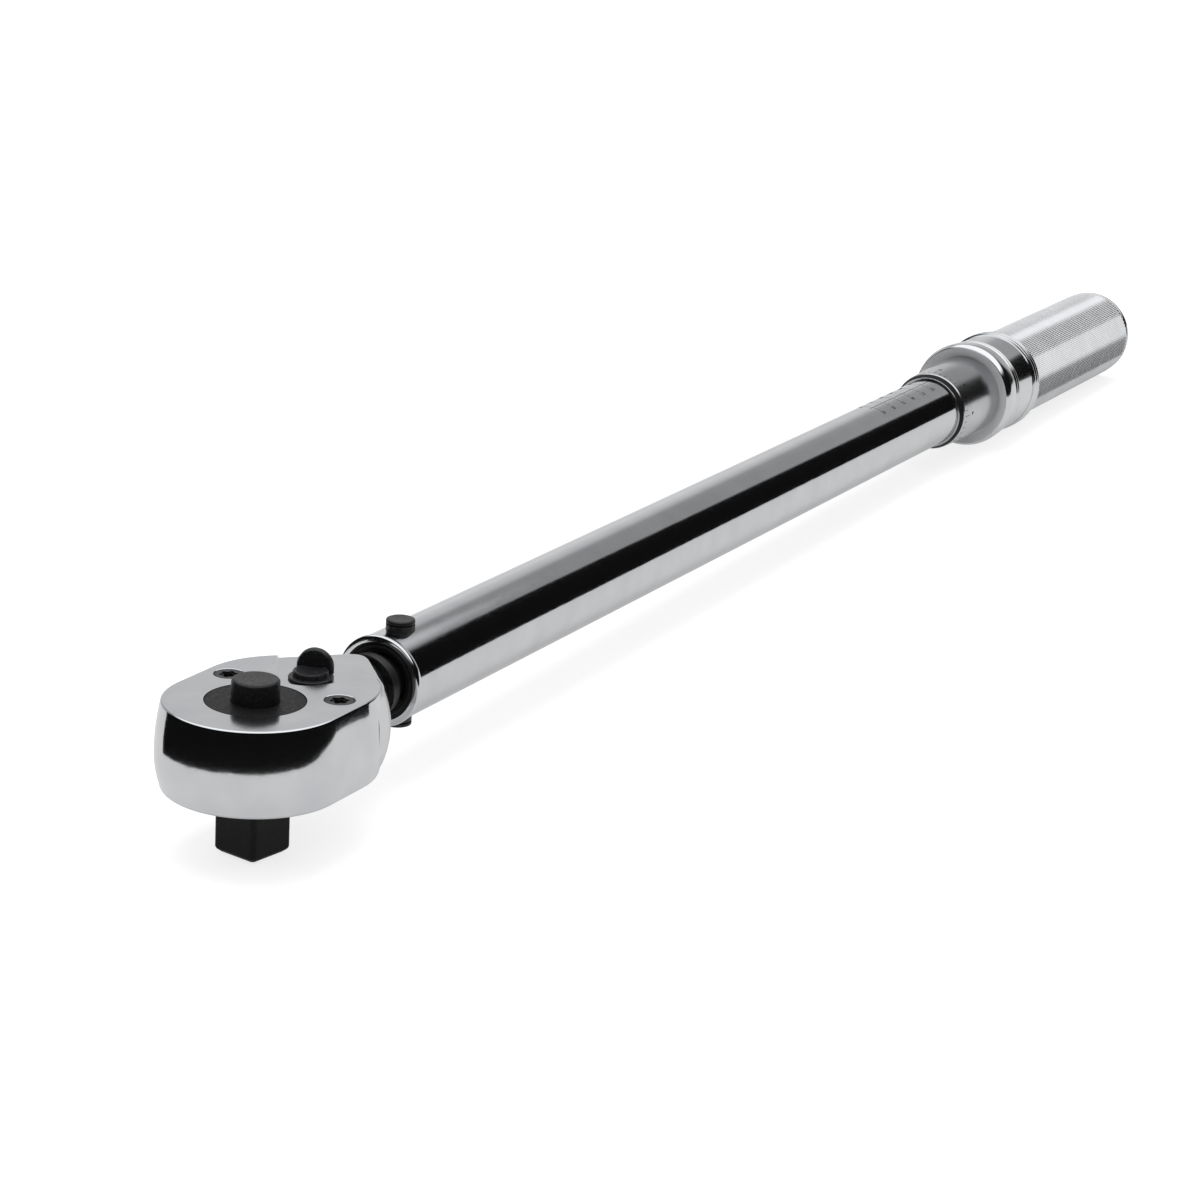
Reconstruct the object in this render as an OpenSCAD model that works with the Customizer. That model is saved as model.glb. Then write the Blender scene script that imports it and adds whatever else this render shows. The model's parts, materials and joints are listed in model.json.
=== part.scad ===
// Click-type micrometer torque wrench with a 1/2 inch square drive.
// Millimetres. The origin is on the drive axis, at the shoulder that a socket seats against.
// +X runs from the drive along the handle, and +Z points from the square drive to the release button.

/* [Drive head] */
// Width across the flats of the square drive
square_w = 12.7; // [12.5:0.05:12.8]
// Length of the square drive below its shoulder
square_len = 15.6; // [15:0.1:17]
// Angle that the square stands at about the drive axis
square_turn = -9.4; // [-45:0.1:45]
// Radius of the head's flat top, round the drive
head_r = 20.8; // [20.4:0.1:21.6]
// Distance that the head's outline runs back along the handle
head_run = 13.5; // [12:0.5:15]
// Height of the top face above the shoulder
head_h = 21.1; // [20.8:0.1:21.4]
// Radius of the drive's top disc
disc_r = 11.64; // [11.2:0.02:11.8]
// Radius of the quick-release button
button_r = 5.56; // [5:0.02:5.8]
// Travel of the quick-release button
button_travel = 3; // [2.5:0.1:3.2]

/* [Reversing lever] */
// Distance from the drive axis to the lever's axis
lever_x = 22.7; // [22.4:0.1:23]
// Angle that the lever stands at, from the handle's direction
lever_turn = 18; // [14:1:20]

/* [Tube] */
// Outer radius of the tube
tube_r = 11.17; // [11:0.01:11.2]
// Bore radius of the tube
tube_bore_r = 9.4; // [9.35:0.01:9.5]
// Distance from the drive axis to the tube's mouth
mouth_x = 52.6; // [52:0.1:53]
// Distance from the drive axis to the pivot pin
pin_x = 62.2; // [62:0.1:62.6]
// Radius of the pivot pin
pin_r = 3.6; // [3.4:0.05:3.7]
// Distance from the drive axis to the tube's rear end
tube_end_x = 488; // [480:1:490]

/* [Handle] */
// Distance from the drive axis to the thimble's front edge
thimble_x = 396.4; // [394:0.1:398]
// Distance from the drive axis to the grip's rear edge
grip_end_x = 556.5; // [555:0.5:560]
// Radius over the grip's knurling
grip_r = 15.56; // [15.4:0.02:15.6]
// Greatest radius of the lock ring
lock_r = 17.6; // [17.2:0.1:18]
// Rearward travel of the lock ring
lock_travel = 4; // [3:0.1:4]
// Advance of the adjusting screw in one turn
screw_pitch = 2; // [1.5:0.25:2]
// Turns of the handle from its lowest to its highest setting
handle_turns = 16; // [8:1:16]

/* [Hidden] */
$fn = 96;
gap = 0.05;              // running clearance on a radius
eps = 0.01;
axis_z = head_h / 2 + 0.45;   // height of the tube's axis

// Ratchet head
plate_t = 1.1;
ledge_z = head_h - plate_t;
head_low_z = 0.2;        // underside of the head, just above the spindle's shoulder
head_bevel = 0.5;        // bevel round the flat top
head_bulge = 1.4;        // how far the barrel-shaped side stands out past the bevel
head_mid_z = 8.6;        // height where the side stands out furthest
head_foot_r = 1.2;       // round of the lower edge
foot_taper = 2.6;        // how much faster the side draws in below its widest height than above it
tail_low_z = 2.4;        // underside of the tail behind the barrel
gear_teeth = 36;
gear_r = 13.6;
gear_root_r = 12.5;
gear_z = 5.9;
gear_bore_r = gear_r + 0.3;
washer_t = 0.7;
journal_r = 10.2;
neck_r = 8;
neck_tip_r = 6.3;
screw_x = 11.5;
screw_y = 15.2;
screw_head_r = 3.55;
screw_seat = 0.35;       // height of the screw heads' seat above the ledge
screw_low_z = 8.5;
screw_r = 1.9;

// Quick release
button_top_z = head_h + 5.2;
button_low_z = 15;
button_well_z = 8;
rod_r = 2.6;
rod_low_z = -10.5;
ball_r = 2.3;
ball_z = -8;
ball_out = 0.9;          // how far the ball stands out of the square's face
ball_centre = square_w / 2 + ball_out - ball_r;
ball_travel = 0.95;
rod_cone_r = 2.5;        // rod radius beside the ball when the button is up

// Pawl and reversing lever
pawl_x = 16.9;
pawl_tilt = 7.2;
pawl_z = 8;
pawl_h = 6.4;
pawl_pin_r = 1.4;
pawl_boss_r = 2.2;
pocket_z = 7.6;
pocket_top_z = 16;
shaft_r = 3.2;
shaft_low_z = 4.2;
lever_base_r = 5.25;
lever_hub_r = 4.1;
fin_r = 4.4;
fin_t = 2.6;
fin_x = 4.1;             // distance from the lever's axis to the middle of its thumb fin
fin_centre_z = head_h + 0.7;
lever_base_t = 0.7;
lever_hub_t = 1.4;
clip_z = 14.6;
plunger_z = 11.6;        // height of the pawl plunger in the lever's shaft
plunger_r = 1.1;

// Click mechanism
click_angle = 2.5;
boss_r = 8.9;
boss_x = 56.9;
boss_end_x = 71;
tongue_r = 6.6;
tongue_end_x = 121.5;
socket_depth = 1.5;
socket_w = 9.2;
socket_h = 8.4;
block = 8;
block_edge_r = 0.6;
block_x = tongue_end_x - socket_depth + gap;
plunger_x = block_x + block + 0.1 - socket_depth;
plunger_end_x = 160;
spigot_r = 4.6;
spring_r = 7.1;
spring_wire_r = 1.5;
spring_turns = 24;
spring_x = plunger_end_x;
seat_x = 385;
seat_end_x = 397;
seat_ball_r = 4;
screw_tip_x = 399;
screw_thread_r = 6;
nut_x = 458;
nut_pin_x = nut_x + 15;
nut_r = tube_bore_r;
nut_pin_r = 2;

// Handle
grip_x = 458;
handle_bore_r = tube_r + gap + 0.03;
thimble_front_r = 12.8;
thimble_rear_r = 13.5;
thimble_end_x = 428.6;
spigot_joint_r = 12.1;
spigot_joint_len = 8;
lock_neck_r = 13.2;
plug_x = 523;
plug_end_x = 536;
plug_pin_x = 531;
plug_pin_r = 2.4;
cap_r = 14.4;

// Lock ring: the inner taper presses three balls onto the tube
lock_x = 427;            // front rim, which stands forward over the thimble's rear end
lock_end_x = 457.6;
lock_seat_x = thimble_end_x + gap;
lock_seat_r = 13.7;
lock_ball_r = 1.7;
lock_ball_x = 443.5;
lock_ball_travel = 0.6;
lock_ball_centre = tube_r + 0.04 + lock_ball_r;
taper_x = 437.6;
taper_end_x = 445.5;
taper_slope = lock_ball_travel / lock_travel;
function taper_at(x) = lock_ball_centre + lock_ball_r + 0.045 + taper_slope * (lock_ball_x - x);
skirt_bore_r = 15.7;
skirt_x = 446.5;
lock_angles = [90, 210, 330];

// ---- helpers ----

// Puts a shape that was drawn along +Z onto the tube's axis, from x forwards along +X
module along(x = 0) {
    translate([x, 0, axis_z]) rotate([0, 90, 0]) children();
}

// A ring or disc on the tube's axis
module collar(x, x_end, r, bore = 0) {
    along(x) difference() {
        cylinder(h = x_end - x, r = r);
        if (bore > 0) translate([0, 0, -1]) cylinder(h = x_end - x + 2, r = bore);
    }
}

// Turns a flat shape about a point
module about(p, a) {
    translate(p) rotate(a) translate(-p) children();
}

// One ring of a coil, as points round the wire at angle a and height h
function coil_ring(r, wire, a, h, sides) =
    [for (s = [0:sides - 1]) let (b = 360 * s / sides)
        [(r + wire * cos(b)) * cos(a), (r + wire * cos(b)) * sin(a), h + wire * sin(b)]];

// A compression spring along +Z whose ends, wire included, lie at 0 and len
module coil_spring(r, wire, turns, len, steps = 12, sides = 6) {
    rings = turns * steps;
    rise = (len - 2 * wire) / rings;
    points = [for (i = [0:rings]) each coil_ring(r, wire, 360 * i / steps, wire + rise * i, sides)];
    walls = [for (i = [0:rings - 1], s = [0:sides - 1])
        let (t = (s + 1) % sides, low = i * sides, high = low + sides)
            each [[low + s, low + t, high + t], [low + s, high + t, high + s]]];
    ends = [[for (s = [sides - 1:-1:0]) s], [for (s = [0:sides - 1]) rings * sides + s]];
    polyhedron(points = points, faces = concat(walls, ends), convexity = 10);
}

// ---- ratchet head ----

// Radius of the barrel-shaped side at height z
function side_r(z) = head_r + head_bevel + head_bulge
    - (z > head_mid_z ? 1 : foot_taper) * head_bulge * pow((z - head_mid_z) / (head_h - head_mid_z), 2);

// Side of the head below the plate, from the axis outwards
head_side = let (foot_z = head_low_z + head_foot_r, foot_x = side_r(foot_z) - head_foot_r) concat(
    [[0, head_low_z]],
    [for (a = [-90:22.5:-22.5]) [foot_x + head_foot_r * cos(a), foot_z + head_foot_r * sin(a)]],
    [for (i = [0:7]) let (z = foot_z + (ledge_z - foot_z) * i / 7) [side_r(z), z]],
    [[0, ledge_z]]);

// Side of the plate, with its bevel
plate_side = [
    [0, ledge_z], [side_r(ledge_z), ledge_z], [side_r(head_h - head_bevel), head_h - head_bevel],
    [head_r, head_h], [0, head_h]];

// A shape swept round the head's long outline, which has a half circle at each end
module head_sweep(side) {
    for (x = [0, head_run]) translate([x, 0, 0]) rotate_extrude() polygon(side);
    rotate([90, 0, 90]) linear_extrude(head_run)
        for (m = [0, 1]) mirror([m, 0]) polygon(side);
}

// Round the tube's axis, the forging narrows to the neck: [x, radius]
tail_side = [
    [20, 22], [24, 21.1], [26.6, 19.9], [29, 18.4], [31, 16.8], [33, 15.2], [35.6, 13.4], [38, 11.8],
    [40.9, 10.25], [44.2, 9], [47, 8.3]
];

// Tail behind the barrel. Its flat top is the ledge under the lever, which ends in a lobe
module head_tail() {
    tail_x = tail_side[0][0];
    tail_end_x = tail_side[len(tail_side) - 1][0];
    intersection() {
        translate([tail_x, -head_r - 5, tail_low_z]) cube([40, 2 * head_r + 10, ledge_z - tail_low_z]);
        along() rotate_extrude()
            polygon(concat([[0, tail_x]], [for (p = tail_side) [p[1], p[0]]], [[0, tail_end_x]]));
    }
}

module gear_outline(grow = 0) {
    pitch = 360 / gear_teeth;
    polygon([for (i = [0:gear_teeth - 1]) each [
        for (k = [[-0.36, gear_root_r], [-0.14, gear_r], [0.14, gear_r], [0.36, gear_root_r]])
            let (a = pitch * (i + k[0])) [(k[1] + grow) * cos(a), (k[1] + grow) * sin(a)]]]);
}

module pocket_outline() {
    circle(r = gear_bore_r);
    translate([8, -11.4]) square([12.4, 22.8]);
    translate([lever_x, 0]) circle(r = 5.6);
    translate([16, -5.6]) square([6.7, 11.2]);
}

module ratchet_head() {
    color("silver") difference() {
        union() {
            head_sweep(head_side);
            head_tail();
            along(28) cylinder(h = 22, r = neck_r);
            along(50 - eps) cylinder(h = 3, r1 = neck_r, r2 = neck_tip_r);
            collar(52.9, boss_x + eps, neck_tip_r);
            collar(boss_x, boss_end_x, boss_r);
            collar(boss_end_x - eps, tongue_end_x, tongue_r);
        }
        // gear chamber, open to the top, and the journal's bore
        translate([0, 0, gear_z - washer_t]) cylinder(h = 30, r = gear_bore_r);
        translate([0, 0, -1]) cylinder(h = 20, r = journal_r + gap);
        // pocket for the pawl under the ledge
        translate([0, 0, pocket_z]) linear_extrude(pocket_top_z - pocket_z) pocket_outline();
        // pawl pin from the underside, and the lever's shaft from the ledge
        translate([pawl_x, 0, -1]) cylinder(h = 10, r = pawl_pin_r);
        translate([lever_x, 0, shaft_low_z - 0.2]) cylinder(h = 20, r = shaft_r + gap);
        for (s = [-1, 1]) translate([screw_x, s * screw_y, screw_low_z - 0.5]) cylinder(h = 20, r = screw_r);
        // pivot hole through the boss
        translate([pin_x, 0, -5]) cylinder(h = 30, r = pin_r + gap);
        // socket for the tilt block
        translate([tongue_end_x - socket_depth, -socket_w / 2, axis_z - socket_h / 2])
            cube([socket_depth + 1, socket_w, socket_h]);
    }
}

// V-shaped cut in the top plate, round the lever
module notch_outline() {
    wall_x = 16;             // where the round of the notch runs into its straight walls
    wall_y = 4.9;
    reach = 29;
    side_y = wall_y + reach * tan(33);
    translate([wall_x + 5, 0]) circle(r = 7);
    polygon([[wall_x, wall_y], [wall_x, -wall_y], [wall_x + reach, -side_y], [wall_x + reach, side_y]]);
}

module cover_plate() {
    color("silver") difference() {
        head_sweep(plate_side);
        translate([0, 0, ledge_z - 1]) linear_extrude(plate_t + 2) notch_outline();
        translate([0, 0, ledge_z - 1]) cylinder(h = 5, r = disc_r + gap + 0.03);
        for (s = [-1, 1]) translate([screw_x, s * screw_y, 0]) {
            cylinder(h = 30, r = screw_r + 0.1);
            translate([0, 0, ledge_z + screw_seat]) cylinder(h = 5, r = screw_head_r + 0.05);
        }
    }
}

module cover_screws() {
    seat_z = ledge_z + screw_seat;
    color("dimgray") for (s = [-1, 1]) translate([screw_x, s * screw_y, 0]) difference() {
        union() {
            translate([0, 0, screw_low_z]) cylinder(h = seat_z + 0.1 - screw_low_z, r = screw_r);
            translate([0, 0, seat_z]) cylinder(h = plate_t - screw_seat - 0.1, r = screw_head_r);
        }
        translate([0, 0, seat_z + 0.1]) linear_extrude(3)
            for (a = [0, 60]) rotate(a) circle(r = 1.9, $fn = 3);
    }
}

// ---- drive ----

module square_bar() {
    half = square_w / 2;
    intersection() {
        translate([-half, -half, -square_len]) cube([square_w, square_w, square_len + 1]);
        translate([0, 0, -square_len]) cylinder(h = square_len + 1, r = half * 1.29);
        translate([0, 0, -square_len]) cylinder(h = 18, r1 = half * 1.29 - 0.6, r2 = half * 1.29 + 17.4);
    }
}

module drive_spindle() {
    color("#2b2b2b") difference() {
        union() {
            translate([0, 0, ledge_z - 0.2]) cylinder(h = plate_t + 0.2, r = disc_r);
            translate([0, 0, gear_z]) linear_extrude(ledge_z - 0.1 - gear_z) gear_outline();
            cylinder(h = gear_z + eps, r = journal_r);
            rotate(square_turn) square_bar();
        }
        translate([0, 0, button_well_z]) cylinder(h = 30, r = button_r + gap);
        translate([0, 0, rod_low_z - button_travel - 0.2]) cylinder(h = 40, r = rod_r + gap);
        rotate(square_turn) translate([2, 0, ball_z]) rotate([0, 90, 0]) cylinder(h = 10, r = ball_r + gap);
    }
}

module thrust_washer() {
    color("goldenrod") translate([0, 0, gear_z - washer_t]) difference() {
        cylinder(h = washer_t - 0.04, r = 13.4);
        translate([0, 0, -1]) cylinder(h = 4, r = journal_r + 0.1);
    }
}

module release_button() {
    color("#2b2b2b") translate([0, 0, button_low_z]) {
        cylinder(h = button_top_z - 0.5 - button_low_z, r = button_r);
        translate([0, 0, button_top_z - 0.5 - button_low_z - eps])
            cylinder(h = 0.5 + eps, r1 = button_r, r2 = button_r - 0.5);
    }
}

// Rod with the cone that lets the ball sink into the square
module release_rod() {
    edge = 0.6;
    color("gray") rotate_extrude() polygon([
        [0, rod_low_z], [rod_r, rod_low_z], [rod_r, ball_z - edge], [rod_cone_r, ball_z - edge],
        [rod_cone_r, ball_z],
        [rod_cone_r - ball_travel * 1.1, ball_z + button_travel * 1.1],
        [rod_cone_r - ball_travel * 1.1, -3], [rod_r - 0.2, -2], [rod_r - 0.2, button_low_z],
        [0, button_low_z]]);
}

module button_spring() {
    color("lightgray") translate([0, 0, button_well_z])
        coil_spring(4, 0.5, 4, button_low_z - button_well_z);
}

module socket_ball() {
    color("silver") rotate(square_turn) translate([ball_centre, 0, ball_z]) sphere(r = ball_r);
}

// ---- pawl and reversing lever ----

// The teeth on one end of the pawl, cut to the gear while that end is in mesh
module pawl_teeth() {
    about([pawl_x, 0], pawl_tilt) difference() {
        intersection() {
            difference() {
                circle(r = 15);
                circle(r = gear_root_r + 0.15);
            }
            polygon([[0, 0], [30 * cos(-42), 30 * sin(-42)], [30 * cos(-27), 30 * sin(-27)]]);
        }
        gear_outline(0.12);
        rotate(0.6) gear_outline(0.12);
        rotate(-0.6) gear_outline(0.12);
    }
}

module pawl_outline() {
    difference() {
        union() {
            difference() {
                circle(r = 17);
                circle(r = 14.75);
                translate([-30, -30]) square([39.4, 60]);
                for (m = [0, 1]) mirror([0, m]) translate([0, 9.9]) square([30, 30]);
                // room for the gear at either end of the pawl's travel
                for (m = [0, 1]) mirror([0, m]) about([pawl_x, 0], pawl_tilt) circle(r = gear_r + 0.15);
            }
            translate([pawl_x, 0]) circle(r = pawl_boss_r);
            for (m = [0, 1]) mirror([0, m]) pawl_teeth();
        }
        translate([pawl_x, 0]) circle(r = pawl_pin_r + gap);
        translate([pawl_x + 2.15, -8]) square([6, 16]);
    }
}

module pawl() {
    color("gray") translate([0, 0, pawl_z]) linear_extrude(pawl_h)
        about([pawl_x, 0], -pawl_tilt) pawl_outline();
}

module pawl_pin() {
    color("silver") translate([pawl_x, 0, head_low_z])
        cylinder(h = pocket_top_z - 0.1 - head_low_z, r = pawl_pin_r);
}

module on_lever() {
    translate([lever_x, 0, 0]) rotate(lever_turn) children();
}

module reversing_lever() {
    color("#2b2b2b") on_lever() difference() {
        union() {
            translate([0, 0, shaft_low_z]) cylinder(h = ledge_z + 0.3 - shaft_low_z, r = shaft_r);
            translate([0, 0, ledge_z + gap]) cylinder(h = lever_base_t, r = lever_base_r);
            translate([0, 0, ledge_z + lever_base_t]) cylinder(h = lever_hub_t, r = lever_hub_r);
            translate([fin_x - fin_t / 2, 0, fin_centre_z]) rotate([0, 90, 0]) cylinder(h = fin_t, r = fin_r);
            translate([fin_x - fin_t / 2, -fin_r, ledge_z + gap])
                cube([fin_t, 2 * fin_r, fin_centre_z - ledge_z - gap]);
        }
        translate([fin_x - 10, -10, ledge_z + gap - 10]) difference() {
            cube([20, 20, 10]);
            translate([10 - fin_x, 10, -1]) cylinder(h = 12, r = shaft_r);
        }
        // dished top of the hub, groove for the clip, and the plunger's bore
        translate([0, 0, ledge_z + lever_base_t + lever_hub_t - 0.4]) cylinder(h = 1, r1 = 2.2, r2 = 3.6);
        translate([0, 0, clip_z]) difference() {
            cylinder(h = 0.8, r = shaft_r + 1);
            cylinder(h = 0.8, r = shaft_r - 0.6);
        }
        translate([-shaft_r - 1, 0, plunger_z]) rotate([0, 90, 0])
            cylinder(h = shaft_r + 3.2, r = plunger_r + 0.04);
    }
}

module lever_clip() {
    color("gray") on_lever() translate([0, 0, clip_z + 0.05]) difference() {
        cylinder(h = 0.7, r = shaft_r + 1.1);
        translate([0, 0, -1]) cylinder(h = 3, r = shaft_r - 0.6);
        translate([0, -1.2, -1]) cube([6, 2.4, 3]);
    }
}

module pawl_plunger() {
    color("silver") on_lever() translate([-3.5, 0, plunger_z]) rotate([0, 90, 0]) {
        translate([0, 0, 0.5]) cylinder(h = 2.7, r = plunger_r);
        cylinder(h = 0.5 + eps, r1 = plunger_r - 0.5, r2 = plunger_r);
    }
}

module pawl_spring() {
    color("lightgray") on_lever() translate([-0.3, 0, plunger_z]) rotate([0, 90, 0])
        coil_spring(0.8, 0.2, 4, 2.5, steps = 10, sides = 4);
}

// ---- tube and click mechanism ----

module tube() {
    lip_r = 11.5;
    color("gainsboro") difference() {
        union() {
            collar(mouth_x, tube_end_x, tube_r);
            along(mouth_x) rotate_extrude() polygon([
                [0, 0], [lip_r - 0.4, 0], [lip_r, 0.4], [lip_r, 1.4], [tube_r, 1.9], [0, 1.9]]);
        }
        along(mouth_x - 1) cylinder(h = tube_end_x - mouth_x + 2, r = tube_bore_r);
        along(mouth_x - eps) cylinder(h = 0.5, r1 = tube_bore_r + 0.5, r2 = tube_bore_r);
        translate([pin_x, 0, -5]) cylinder(h = 30, r = pin_r);
        translate([nut_pin_x, -15, axis_z]) rotate([-90, 0, 0]) cylinder(h = 30, r = nut_pin_r);
    }
}

module neck_seal() {
    color("#1a1a1a") along(mouth_x + 0.3) rotate_extrude() polygon([
        [neck_tip_r + 0.7, 0.8], [8.2, 0.8], [8.2, 0], [8.9, 0], [8.9, 0.5], [tube_bore_r, 0.5],
        [tube_bore_r, 3.2], [neck_tip_r + 0.7, 3.2]]);
}

// Pin whose two heads stand out of the tube, each with a shallow groove
module pivot_pin() {
    reach = 13.55;
    groove_z = 12.3;
    color("#2b2b2b") translate([pin_x, 0, axis_z]) difference() {
        union() {
            cylinder(h = 2 * reach - 0.6, r = pin_r, center = true);
            for (m = [0, 1]) mirror([0, 0, m]) translate([0, 0, reach - 0.3 - eps])
                cylinder(h = 0.3 + eps, r1 = pin_r, r2 = pin_r - 0.3);
        }
        for (m = [0, 1]) mirror([0, 0, m]) translate([0, 0, groove_z]) difference() {
            cylinder(h = 0.35, r = pin_r + 1);
            translate([0, 0, -1]) cylinder(h = 3, r = pin_r - 0.4);
        }
    }
}

module fixed_nut() {
    color("darkgray") difference() {
        collar(nut_x, tube_end_x, nut_r, screw_thread_r + gap);
        for (s = [-1, 1]) translate([nut_pin_x, 0, axis_z]) rotate([-90 * s, 0, 0])
            translate([0, 0, 6.6]) cylinder(h = 10, r = nut_pin_r);
    }
}

module nut_pins() {
    color("silver") for (s = [-1, 1]) translate([nut_pin_x, 0, axis_z]) rotate([-90 * s, 0, 0])
        translate([0, 0, 6.6]) cylinder(h = 4.3, r = nut_pin_r);
}

module tilt_block() {
    inset = block_edge_r;
    far = block - inset;
    color("gray") translate([block_x, -block / 2, axis_z - block / 2]) {
        translate([inset, 0, 0]) cube([far - inset, block, block]);
        translate([0, inset, 0]) cube([block, far - inset, block]);
        for (x = [inset, far], y = [inset, far]) translate([x, y, 0]) cylinder(h = block, r = inset);
    }
}

module plunger() {
    color("darkgray") difference() {
        union() {
            collar(plunger_x, plunger_end_x, tube_bore_r - gap);
            collar(plunger_end_x - eps, plunger_end_x + 8, spigot_r);
        }
        translate([plunger_x - 1, -socket_w / 2, axis_z - socket_h / 2])
            cube([socket_depth + 1, socket_w, socket_h]);
    }
}

module main_spring() {
    color("#3a3a3a") along(spring_x)
        coil_spring(spring_r, spring_wire_r, spring_turns, seat_x - spring_x);
}

module spring_seat() {
    color("darkgray") difference() {
        union() {
            collar(seat_x, seat_end_x, tube_bore_r - gap);
            collar(seat_x - 8, seat_x + eps, spigot_r);
        }
        along(seat_end_x - 2) cylinder(h = 3, r = seat_ball_r - 0.2);
    }
}

module thrust_ball() {
    color("silver") translate([seat_end_x + 1, 0, axis_z]) sphere(r = 2.96);
}

module adjusting_screw() {
    color("dimgray") difference() {
        union() {
            collar(screw_tip_x, plug_end_x, screw_thread_r);
            collar(screw_tip_x, screw_tip_x + 4, 7.5);
        }
        along(screw_tip_x - eps) cylinder(h = 2.1, r = 3.05);
        translate([plug_pin_x, -8, axis_z]) rotate([-90, 0, 0]) cylinder(h = 16, r = plug_pin_r);
    }
}

// ---- handle ----

module thimble() {
    color("gray") along(thimble_x) difference() {
        rotate_extrude() polygon([
            [0, 0], [tube_r + 0.4, 0], [thimble_front_r - 0.1, 2.4], [thimble_front_r, 2.6],
            [thimble_rear_r, thimble_end_x - thimble_x], [0, thimble_end_x - thimble_x]]);
        translate([0, 0, -1]) cylinder(h = 60, r = handle_bore_r);
        translate([0, 0, thimble_end_x - thimble_x - spigot_joint_len]) cylinder(h = 60, r = spigot_joint_r);
    }
}

module grip() {
    color("darkgray") difference() {
        union() {
            collar(thimble_end_x - spigot_joint_len, thimble_end_x + eps, spigot_joint_r);
            collar(thimble_end_x, grip_x + eps, lock_neck_r);
            collar(grip_x, grip_end_x - 1, grip_r);
            along(grip_end_x - 1 - eps) cylinder(h = 1 + eps, r1 = grip_r, r2 = grip_r - 0.8);
        }
        along(400) cylinder(h = plug_x - 400, r = handle_bore_r);
        along(plug_x - eps) cylinder(h = plug_end_x - plug_x + 2 * eps, r = 12);
        along(plug_end_x) cylinder(h = grip_end_x - plug_end_x + 1, r = cap_r);
        for (a = lock_angles) along(lock_ball_x) rotate([0, 0, a]) rotate([0, 90, 0])
            cylinder(h = 14, r = lock_ball_r + gap);
        translate([plug_pin_x, -20, axis_z]) rotate([-90, 0, 0]) cylinder(h = 20, r = plug_pin_r);
    }
}

module end_plug() {
    color("gray") difference() {
        collar(plug_x, plug_end_x, 12, screw_thread_r);
        translate([plug_pin_x, -20, axis_z]) rotate([-90, 0, 0]) cylinder(h = 30, r = plug_pin_r);
    }
}

module plug_pin() {
    color("#2b2b2b") translate([plug_pin_x, -grip_r + 0.5, axis_z]) rotate([-90, 0, 0])
        cylinder(h = grip_r + 7, r = plug_pin_r);
}

module end_cap() {
    color("#1a1a1a") {
        collar(plug_end_x, grip_end_x - 0.8, cap_r);
        along(grip_end_x - 0.8 - eps) cylinder(h = 1.3, r1 = cap_r, r2 = cap_r - 1);
    }
}

// Outside of the lock ring, from its dished front to its rear rim: [x, radius]
lock_outside = [
    [lock_seat_x, lock_seat_r], [lock_x + 0.2, 16.2], [lock_x, lock_r - 1], [lock_x + 0.7, lock_r - 0.6],
    [lock_x + 2.2, lock_r], [lock_x + 4, lock_r], [434.9, 17.3], [435.3, 16.8], [435.8, 16.8], [436.2, 17.2],
    [436.8, 17.2], [437.1, 16.8], [437.6, 16.8], [438, 17.1], [438.8, 17], [439.2, 16.5],
    [452.4, 16.6], [452.9, 17.1], [453.8, 17.2],
    [454.3, 16.8], [454.8, 17.2], [455.8, 17.2], [456.2, 16.9], [456.6, 17.2], [lock_end_x, 16.9]
];

module lock_ring() {
    inside = [
        [lock_end_x, skirt_bore_r], [skirt_x, skirt_bore_r], [skirt_x, taper_at(taper_end_x)],
        [taper_end_x, taper_at(taper_end_x)], [taper_x, taper_at(taper_x)],
        [taper_x, lock_neck_r + gap], [lock_seat_x, lock_neck_r + gap]
    ];
    color("silver") along() rotate_extrude()
        polygon([for (p = concat(lock_outside, inside)) [p[1], p[0]]]);
}

module lock_spring() {
    color("lightgray") along(skirt_x)
        coil_spring(14.85, 0.6, 3, grip_x - skirt_x, steps = 24, sides = 6);
}

module lock_ball(i) {
    color("silver") along(lock_ball_x) rotate([0, 0, lock_angles[i]])
        translate([lock_ball_centre, 0, 0]) sphere(r = lock_ball_r);
}

ratchet_head();
cover_plate();
cover_screws();
drive_spindle();
thrust_washer();
release_button();
release_rod();
button_spring();
socket_ball();
pawl();
pawl_pin();
reversing_lever();
lever_clip();
pawl_plunger();
pawl_spring();
tube();
neck_seal();
pivot_pin();
fixed_nut();
nut_pins();
tilt_block();
plunger();
main_spring();
spring_seat();
thrust_ball();
adjusting_screw();
thimble();
grip();
end_plug();
plug_pin();
end_cap();
lock_ring();
lock_spring();
lock_ball(0);  // lock_ball_1
lock_ball(1);  // lock_ball_2
lock_ball(2);  // lock_ball_3
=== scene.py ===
"""Click-type torque wrench: looks, studio and camera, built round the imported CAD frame.

Sizes are in millimetres until a mesh is written, and the frame is the part's own:
the origin on the drive axis at the square's shoulder, +X along the handle, +Z up.
"""
import json
import math

import bmesh
import bpy
from mathutils import Matrix, Vector


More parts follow.
